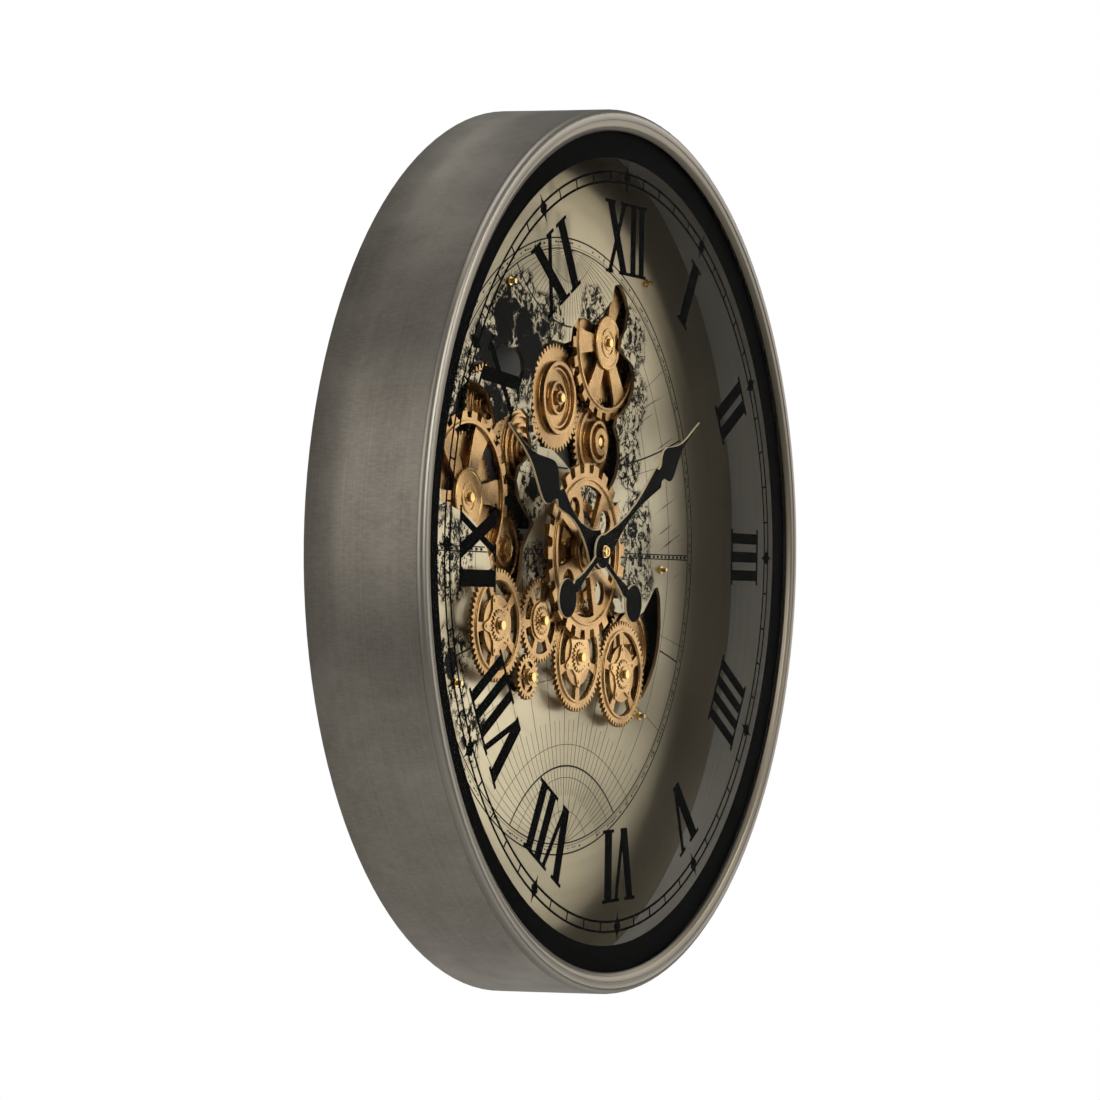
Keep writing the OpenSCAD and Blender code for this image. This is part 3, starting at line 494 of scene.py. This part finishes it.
def hand_black():
    """Black faces, with bright gold on the cut edges."""
    m = Mat("hand_black_gold_edge")
    grain = m.noise(m.co, 700.0, 3.0)
    cloud = m.noise(m.co, 50.0, 3.0)
    edge = m.ramp(m.facing(), [(0.86, WHITE), (0.93, BLACK)])
    black = m.ramp(cloud, [(0.3, (0.003, 0.003, 0.003)), (0.7, (0.006, 0.006, 0.006))])
    gold = m.mix(grain, (0.92, 0.72, 0.42), (1.0, 0.86, 0.58))
    m.color(m.mix(edge, black, gold))
    m.put(m.b.inputs["Metallic"], m.times(edge, 0.3))
    satin = m.math("MULTIPLY_ADD", edge, -0.35, 0.6)
    m.put(m.b.inputs["Roughness"], m.math("ADD", satin, m.times(grain, 0.1)))
    m.bump(grain, 0.06, 0.0001)
    m.b.inputs["IOR"].default_value = 1.08
    return m.m


def cell_wrap():
    """Green sleeve with pale bands along the cell."""
    m = Mat("cell_sleeve")
    along = m.join(m.times(m.xyz(m.co)[0], 28.0), 0.0, 0.0)
    grain = m.noise(m.co, 500.0, 2.0)
    band = m.math("GREATER_THAN", m.noise(along, 1.0, 0.0), 0.56)
    sleeve = m.mix(band, (0.03, 0.16, 0.09), (0.56, 0.50, 0.36))
    m.color(m.mix(grain, sleeve, (0.05, 0.20, 0.12)))
    m.b.inputs["Coat Weight"].default_value = 0.4
    m.rough(grain, 0.25, 0.38)
    return m.m


MATS = {
    "case_metal": case_metal(),
    "bezel_metal": bezel_metal(),
    "glass": glass_clear(),
    "print_black": ink(),
    "liner_metal": liner_metal(),
    "dial_metal": dial_metal(),
    "base_board": board(),
    "zinc_steel": plain_metal("zinc_steel", (0.44, 0.44, 0.43), (0.58, 0.58, 0.57), 0.28, 0.42),
    "brass": plain_metal("brass_bright", (0.56, 0.37, 0.12), (0.76, 0.53, 0.20), 0.13, 0.25),
    "gear_bronze": gear_metal(
        "gear_bronze",
        (0.22, 0.120, 0.042), (0.36, 0.205, 0.075), (0.53, 0.320, 0.125),
        (0.20, 0.36),
    ),
    "gear_gold": gear_metal(
        "gear_gold",
        (0.27, 0.152, 0.055), (0.43, 0.252, 0.095), (0.62, 0.395, 0.160),
        (0.18, 0.32),
    ),
    "movement_plastic": moulded("movement_plastic", (0.012, 0.012, 0.012), (0.022, 0.022, 0.022)),
    "cell_wrap": cell_wrap(),
    "hand_black": hand_black(),
    "switch_red": moulded("switch_red", (0.36, 0.02, 0.015), (0.50, 0.035, 0.025), 0.25, 0.4),
}

slot_of = {s["node"]: s["material_slot"] for s in frame["record"]["subparts"]}
for name, obj in nodes.items():
    mat = MATS[slot_of[name]]
    if not obj.data.materials:
        obj.data.materials.append(mat)
    for i in range(len(obj.data.materials)):
        obj.data.materials[i] = mat


# ---- softened edges ----

WELD_DISTANCE = 0.000002
SHARP = math.radians(32)        # edges bent by more than this are softened


def weld(names):
    for n in names:
        nodes[n].modifiers.new("weld", "WELD").merge_threshold = WELD_DISTANCE


def soften(names, width):
    """Small rounded edges, which catch the light as cut and tumbled metal does."""
    weld(names)
    for n in names:
        b = nodes[n].modifiers.new("edge", "BEVEL")
        b.width = width * MM
        b.segments = 2
        b.limit_method = "ANGLE"
        b.angle_limit = SHARP
        b.harden_normals = True


bronze = [n for n in nodes if slot_of[n] in ("gear_bronze", "gear_gold")]
fine_cut = ["south_spider", "east_spider", "west_spider", "inner_hub", "small_wheel"]
soften([n for n in bronze if n not in fine_cut], 0.2)
soften(fine_cut, 0.12)
soften(["minute_hand", "hour_hand"], 0.3)
soften(["post_caps", "plate_screws", "hand_nut"], 0.3)
weld(["case_shell", "bezel_ring", "inner_liner", "glass_pane"])


# ---- engraved lines of the map, laid on the plate where it is not cut away ----

PLATE_DEPTH = 35.0              # front of the dial plate, in mm from the rear of the glass
LINE_REAR = 34.99               # rear of a printed line
LINE_LIFT = 0.06                # how far a printed line stands proud of the plate
TINY = 1e-6


def plate_tree():
    me = nodes["dial_plate"].data
    return BVHTree.FromPolygons([v.co for v in me.vertices], [p.vertices for p in me.polygons])


TREE = plate_tree()


def on_plate(x, z):
    """Whether a ray from in front of the plate meets its front face here."""
    hit = TREE.ray_cast(pt(x, 30, z), Vector((0, 1, 0)), 0.02)[0]
    return hit is not None and hit.y < PLATE_Y + 0.0005


MAP_R = 169.0
MAP_Z = 3.0
ARC_STEPS = 110
RING_STEPS = 240
EQUATOR_STEPS = 120


def arc_through(a, b, c, steps=ARC_STEPS):
    """Points on the circle through a, b and c, from a to c."""
    ax, ay = a
    bx, by = b
    cx, cy = c
    d = 2 * (ax * (by - cy) + bx * (cy - ay) + cx * (ay - by))
    if abs(d) < TINY:
        shares = [i / steps for i in range(steps + 1)]
        return [(ax + (cx - ax) * s, ay + (cy - ay) * s) for s in shares]
    a2, b2, c2 = ax * ax + ay * ay, bx * bx + by * by, cx * cx + cy * cy
    ux = (a2 * (by - cy) + b2 * (cy - ay) + c2 * (ay - by)) / d
    uy = (a2 * (cx - bx) + b2 * (ax - cx) + c2 * (bx - ax)) / d
    r = math.hypot(ax - ux, ay - uy)
    t0 = math.atan2(ay - uy, ax - ux)
    t1 = math.atan2(cy - uy, cx - ux)
    tm = math.atan2(by - uy, bx - ux)
    span = (t1 - t0) % (2 * math.pi)
    if (tm - t0) % (2 * math.pi) > span:
        span -= 2 * math.pi
    angles = [t0 + span * i / steps for i in range(steps + 1)]
    return [(ux + r * math.cos(t), uy + r * math.sin(t)) for t in angles]


def circle_points(r, n, a0=0.0, a1=360.0):
    angles = [math.radians(a0 + (a1 - a0) * i / n) for i in range(n + 1)]
    return [(r * math.cos(t), MAP_Z + r * math.sin(t)) for t in angles]


def meridian(share):
    top, bottom = (0.0, MAP_Z + MAP_R), (0.0, MAP_Z - MAP_R)
    return arc_through(top, (MAP_R * share, MAP_Z), bottom)


def parallel(degrees):
    lat = math.radians(degrees)
    x, z = MAP_R * math.cos(lat), MAP_Z + MAP_R * math.sin(lat)
    return arc_through((-x, z), (0.0, MAP_Z + MAP_R * degrees / 90.0), (x, z))


def ribbon(verts, faces, points, width, lift=LINE_LIFT):
    """A flat printed line along points, left out where the plate is cut away."""
    for (x0, z0), (x1, z1) in zip(points, points[1:]):
        if not (on_plate(x0, z0) and on_plate(x1, z1)):
            continue
        length = math.hypot(x1 - x0, z1 - z0)
        if length < TINY:
            continue
        nx, nz = -(z1 - z0) / length * width / 2, (x1 - x0) / length * width / 2
        corners = (
            (x0 - nx, z0 - nz), (x1 - nx, z1 - nz), (x1 + nx, z1 + nz), (x0 + nx, z0 + nz)
        )
        k = len(verts)
        verts.extend(pt(x, PLATE_DEPTH - lift, z) for x, z in corners)
        verts.extend(pt(x, LINE_REAR, z) for x, z in corners)
        faces.append((k, k + 1, k + 2, k + 3))
        faces.append((k + 7, k + 6, k + 5, k + 4))
        for i in range(4):
            j = (i + 1) % 4
            faces.append((k + j, k + i, k + 4 + i, k + 4 + j))


def scale_marks(verts, faces):
    """Blocks of uneven length outside the map, and a longer tick every 15 degrees."""
    for i in range(360):
        mark = math.sin(i * 12.9898) * 43758.5453   # a repeatable scatter from 0 to 1
        mark -= math.floor(mark)
        if mark > 0.45:
            block = circle_points(MAP_R + 2.6 + 1.2 * mark, 2, i, i + 0.25 + 0.5 * mark)
            ribbon(verts, faces, block, 0.4 + 0.7 * mark, 0.05)
        if i % 15 == 0:
            c, s = math.cos(math.radians(i)), math.sin(math.radians(i))
            tick = [((MAP_R + q) * c, MAP_Z + (MAP_R + q) * s) for q in (0, 3, 6)]
            ribbon(verts, faces, tick, 0.4)


def equator(verts, faces):
    """Two lines with a row of dashes between them."""
    across = [-MAP_R + 2 * MAP_R * i / EQUATOR_STEPS for i in range(EQUATOR_STEPS + 1)]
    for down in (2.6, 5.2):
        ribbon(verts, faces, [(x, MAP_Z - down) for x in across], 0.7)
    for x in across[:-1:2]:
        ribbon(verts, faces, [(x, MAP_Z - 3.9), (x + MAP_R / 62, MAP_Z - 3.9)], 1.5)


def map_lines():
    verts, faces = [], []
    for out, width in ((6, 0.9), (0, 0.8), (1.6, 0.3)):
        ribbon(verts, faces, circle_points(MAP_R + out, RING_STEPS), width)
    scale_marks(verts, faces)
    for k in range(-17, 18):
        line = meridian(k / 18.0)
        if k % 3 == 0:
            ribbon(verts, faces, line, 0.36)
        else:
            # the others show only near the poles
            ribbon(verts, faces, line[3:26], 0.24)
            ribbon(verts, faces, line[-24:-9], 0.24)
    for degrees in (-80, -70, -60, -40, -20, 20, 40, 60, 80):
        ribbon(verts, faces, parallel(degrees), 0.3)
    for degrees in (-66.5, -23.5, 23.5, 66.5):
        ribbon(verts, faces, parallel(degrees), 1.0)
    equator(verts, faces)
    me = bpy.data.meshes.new("map_lines")
    me.from_pydata(verts, [], faces)
    me.materials.append(ink("map_ink", 0.016))
    o = add_object("map_lines", me)
    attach(o, "frame")


map_lines()


# ---- studio ----

FLOOR_HALF = 1.5
FLOOR_DROP = 0.95               # from the case axis down to the floor
FILL = 0.24                     # strength of the even light from all round

# Each light: name, place from the middle of the clock, size, power, tint.
LIGHTS = (
    ("key", (-0.5, -2.2, 0.9), (1.2, 1.6), 26, (1.0, 0.985, 0.96)),
    ("sheen", (2.1, -1.1, 0.25), (1.5, 1.9), 15, (1.0, 0.97, 0.92)),
    ("spark", (1.3, -1.8, 0.7), (0.16, 0.7), 7, (1.0, 0.95, 0.88)),
    ("left", (-2.0, 0.15, 0.5), (0.9, 1.8), 15, (1.0, 0.98, 0.95)),
    ("top", (0.0, -0.2, 2.0), (1.6, 1.0), 14, (1.0, 1.0, 1.0)),
)


def floor():
    me = bpy.data.meshes.new("floor")
    s = FLOOR_HALF
    z = AXIS_Z - FLOOR_DROP
    me.from_pydata([(-s, -s, z), (s, -s, z), (s, s, z), (-s, s, z)], [], [(0, 1, 2, 3)])
    o = add_object("floor", me)
    m = Mat("floor_pale")
    n = m.noise(m.co, 30.0, 3.0)
    m.color(m.ramp(n, [(0.3, (0.80, 0.80, 0.79)), (0.7, (0.84, 0.84, 0.83))]))
    m.rough(n, 0.6, 0.75)
    me.materials.append(m.m)


def area(name, at, aim, size, power, tint):
    light = bpy.data.lights.new(name, "AREA")
    light.shape = "RECTANGLE"
    light.size, light.size_y = size
    light.energy = power
    light.color = tint
    o = add_object(name, light)
    o.location = at
    o.rotation_euler = (aim - at).to_track_quat("-Z", "Y").to_euler()


def surroundings():
    """White to the camera, and a weaker white as light."""
    world = bpy.data.worlds.new("studio")
    bpy.context.scene.world = world
    world.use_nodes = True
    t = world.node_tree
    back = t.nodes["Background"]
    seen = t.nodes.new("ShaderNodeBackground")
    for n, strength in ((back, FILL), (seen, 1.0)):
        n.inputs[0].default_value = (1.0, 1.0, 1.0, 1.0)
        n.inputs[1].default_value = strength
    ray = t.nodes.new("ShaderNodeLightPath")
    mixer = t.nodes.new("ShaderNodeMixShader")
    t.links.new(ray.outputs["Is Camera Ray"], mixer.inputs[0])
    t.links.new(back.outputs[0], mixer.inputs[1])
    t.links.new(seen.outputs[0], mixer.inputs[2])
    t.links.new(mixer.outputs[0], t.nodes["World Output"].inputs[0])


floor()
surroundings()
middle = pt(0, 20, 0)
for name, place, size, power, tint in LIGHTS:
    area(name, middle + Vector(place), middle, size, power, tint)
bpy.context.scene.view_settings.view_transform = "Standard"
